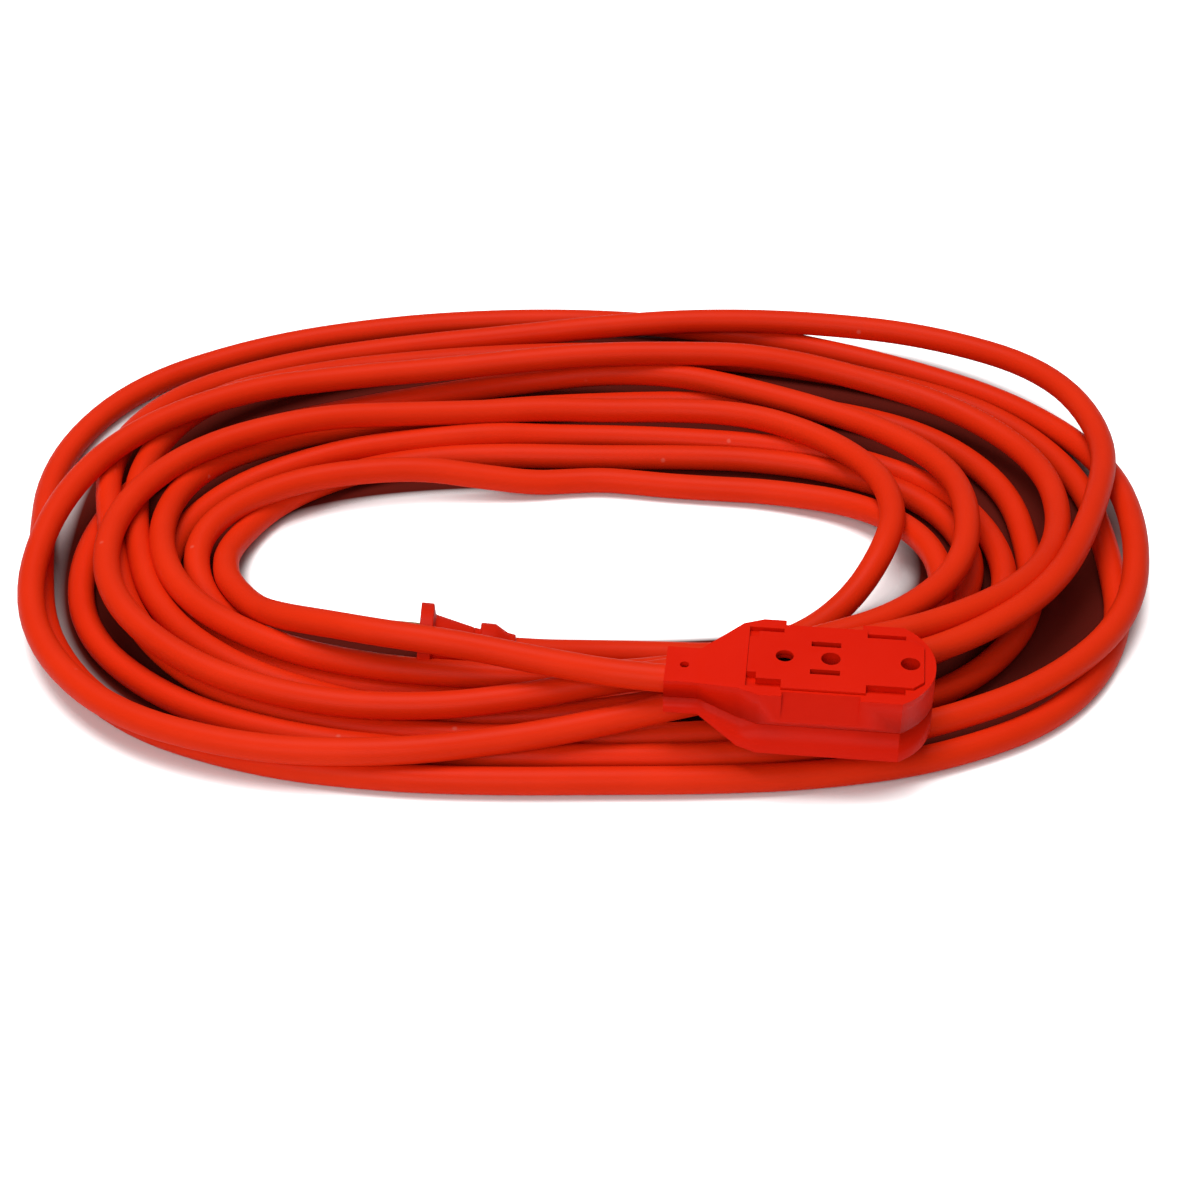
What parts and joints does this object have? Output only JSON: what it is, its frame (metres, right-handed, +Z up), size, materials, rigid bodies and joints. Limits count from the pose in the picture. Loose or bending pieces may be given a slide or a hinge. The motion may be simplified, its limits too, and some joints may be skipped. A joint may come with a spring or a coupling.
{
  "type": "extension cord",
  "caption": "Outdoor extension cord wound in a loose oval coil, with a waisted outlet block lying across it and a round-flanged grounded plug inside it.",
  "frame": {"origin": "on the floor under the middle of the box round the outlet block and the plug, without the cord's own nodes", "axes": "+Z up, +X to the right as the picture shows it, from the plug towards the block's nose, +Y away from the viewer into the coil"},
  "size_m": [0.365, 0.2521, 0.0401],
  "materials": {
    "cord_jacket": "satin",
    "casing_plastic": "satin",
    "plug_vinyl": "satin",
    "insert_plastic": "matte",
    "carrier_plastic": "matte",
    "brass": "rolled",
    "prong_brass": "polished",
    "screw_steel": "zinc plated",
    "band_steel": "plain",
    "wire_black": "matte",
    "wire_white": "matte",
    "wire_green": "matte"
  },
  "bodies": {
    "root": {"block_case_screws": "screw_steel", "block_contact_carrier": "carrier_plastic", "block_cord_band": "band_steel", "block_face_plate": "casing_plastic", "block_ground_contact": "brass", "block_ground_wire": "wire_green", "block_hot_contact": "brass", "block_hot_wire": "wire_black", "block_lower_shell": "casing_plastic", "block_neutral_contact": "brass", "block_neutral_wire": "wire_white", "block_upper_shell": "casing_plastic", "cord_block_lead": "cord_jacket", "cord_coil": "cord_jacket", "cord_plug_lead": "cord_jacket", "plug_body": "plug_vinyl", "plug_face_insert": "insert_plastic", "plug_ground_pin": "prong_brass", "plug_ground_wire": "wire_green", "plug_hot_blade": "prong_brass", "plug_hot_wire": "wire_black", "plug_neutral_blade": "prong_brass", "plug_neutral_wire": "wire_white", "plug_strain_relief": "plug_vinyl"}
  },
  "joints": []
}
